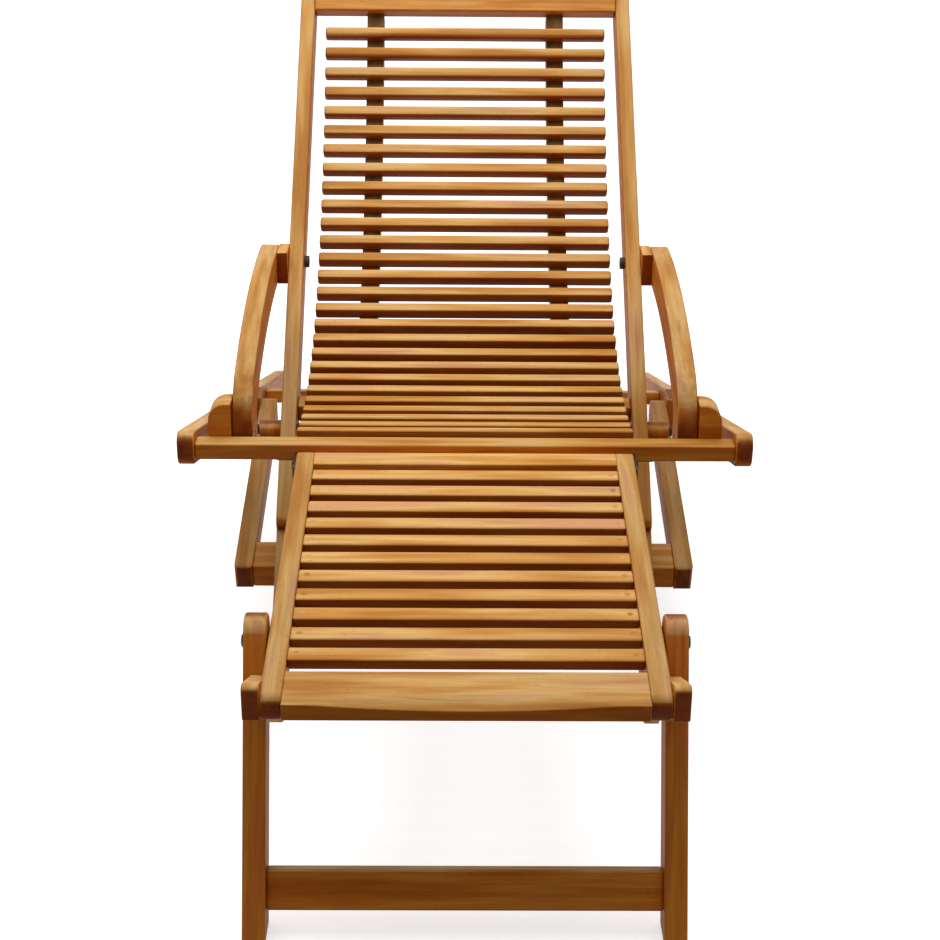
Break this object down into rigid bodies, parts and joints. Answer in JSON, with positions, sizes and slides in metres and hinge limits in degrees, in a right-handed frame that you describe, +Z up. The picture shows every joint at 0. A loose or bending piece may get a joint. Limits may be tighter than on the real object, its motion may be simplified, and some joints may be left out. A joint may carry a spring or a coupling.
{
  "type": "steamer deck chair",
  "caption": "Folding wooden steamer deck chair with a hollow slatted seat and back, bowed arms, a prop frame and a slatted footrest on folding legs.",
  "frame": {"origin": "centre of the footprint on the floor", "axes": "+X across the chair to the sitter's left as seen from the foot end, +Y to the rear, +Z up"},
  "size_m": [0.6796, 1.58, 0.7443],
  "materials": {
    "oiled_wood": "oiled hardwood, satin",
    "steel": "dulled zinc plated steel"
  },
  "bodies": {
    "rear_frame": {"left_side_rail": "oiled_wood", "right_side_rail": "oiled_wood", "crossbar": "oiled_wood", "rear_stretcher": "oiled_wood", "left_arm_bracket": "oiled_wood", "right_arm_bracket": "oiled_wood", "arm_pegs": "steel", "left_prop_block": "oiled_wood", "right_prop_block": "oiled_wood", "frame_bolts": "steel", "frame_sleeves": "oiled_wood", "prop_pins": "steel", "left_footrest_bracket": "steel", "right_footrest_bracket": "steel", "footrest_pins": "steel"},
    "back_frame": {"left_stile": "oiled_wood", "right_stile": "oiled_wood", "top_rail": "oiled_wood", "mid_rail": "oiled_wood", "left_runner": "oiled_wood", "right_runner": "oiled_wood", "arm_spacers": "oiled_wood", "arm_bolts": "steel", "slats_1_to_3": "oiled_wood", "slats_4_to_6": "oiled_wood", "slats_7_to_9": "oiled_wood", "slats_10_to_12": "oiled_wood", "slats_13_to_15": "oiled_wood", "slats_16_to_18": "oiled_wood", "slats_19_to_21": "oiled_wood", "slats_22_to_24": "oiled_wood", "slats_25_to_27": "oiled_wood"},
    "left_arm": {"left_arm": "oiled_wood"},
    "right_arm": {"right_arm": "oiled_wood"},
    "prop": {"left_prop_board": "oiled_wood", "right_prop_board": "oiled_wood", "prop_bar": "oiled_wood"},
    "footrest": {"left_footrest_rail": "oiled_wood", "right_footrest_rail": "oiled_wood", "footrest_rear_rail": "oiled_wood", "footrest_apron": "oiled_wood", "left_stop_block": "oiled_wood", "right_stop_block": "oiled_wood", "leg_bolts": "steel", "leg_washers": "steel", "footrest_slat_1": "oiled_wood", "footrest_slat_2": "oiled_wood", "footrest_slat_3": "oiled_wood", "footrest_slat_4": "oiled_wood", "footrest_slat_5": "oiled_wood", "footrest_slat_6": "oiled_wood", "footrest_slat_7": "oiled_wood", "footrest_slat_8": "oiled_wood", "footrest_slat_9": "oiled_wood", "footrest_slat_10": "oiled_wood", "footrest_slat_11": "oiled_wood"},
    "footrest_legs": {"left_footrest_leg": "oiled_wood", "right_footrest_leg": "oiled_wood", "leg_stretcher": "oiled_wood"}
  },
  "joints": [
    {"name": "frame_fold", "type": "hinge", "parent": "rear_frame", "child": "back_frame", "pos_m": [0, -0.071, 0.25773], "axis": [-1, 0, 0], "range_deg": [0, 45]},
    {"name": "left_arm_lift", "type": "hinge", "parent": "back_frame", "child": "left_arm", "pos_m": [-0.262, 0.11, 0.428], "axis": [-1, 0, 0], "range_deg": [0, 150]},
    {"name": "right_arm_lift", "type": "hinge", "parent": "back_frame", "child": "right_arm", "pos_m": [0.262, 0.11, 0.428], "axis": [-1, 0, 0], "range_deg": [0, 150]},
    {"name": "prop_swing", "type": "hinge", "parent": "rear_frame", "child": "prop", "pos_m": [0, 0.189, 0.17849], "axis": [1, 0, 0], "range_deg": [0, 140]},
    {"name": "footrest_lift", "type": "hinge", "parent": "rear_frame", "child": "footrest", "pos_m": [0, -0.312, 0.3118], "axis": [-1, 0, 0], "range_deg": [0, 100]},
    {"name": "footrest_leg_fold", "type": "hinge", "parent": "footrest", "child": "footrest_legs", "pos_m": [0, -0.65098, 0.26958], "axis": [1, 0, 0], "range_deg": [0, 113]}
  ]
}
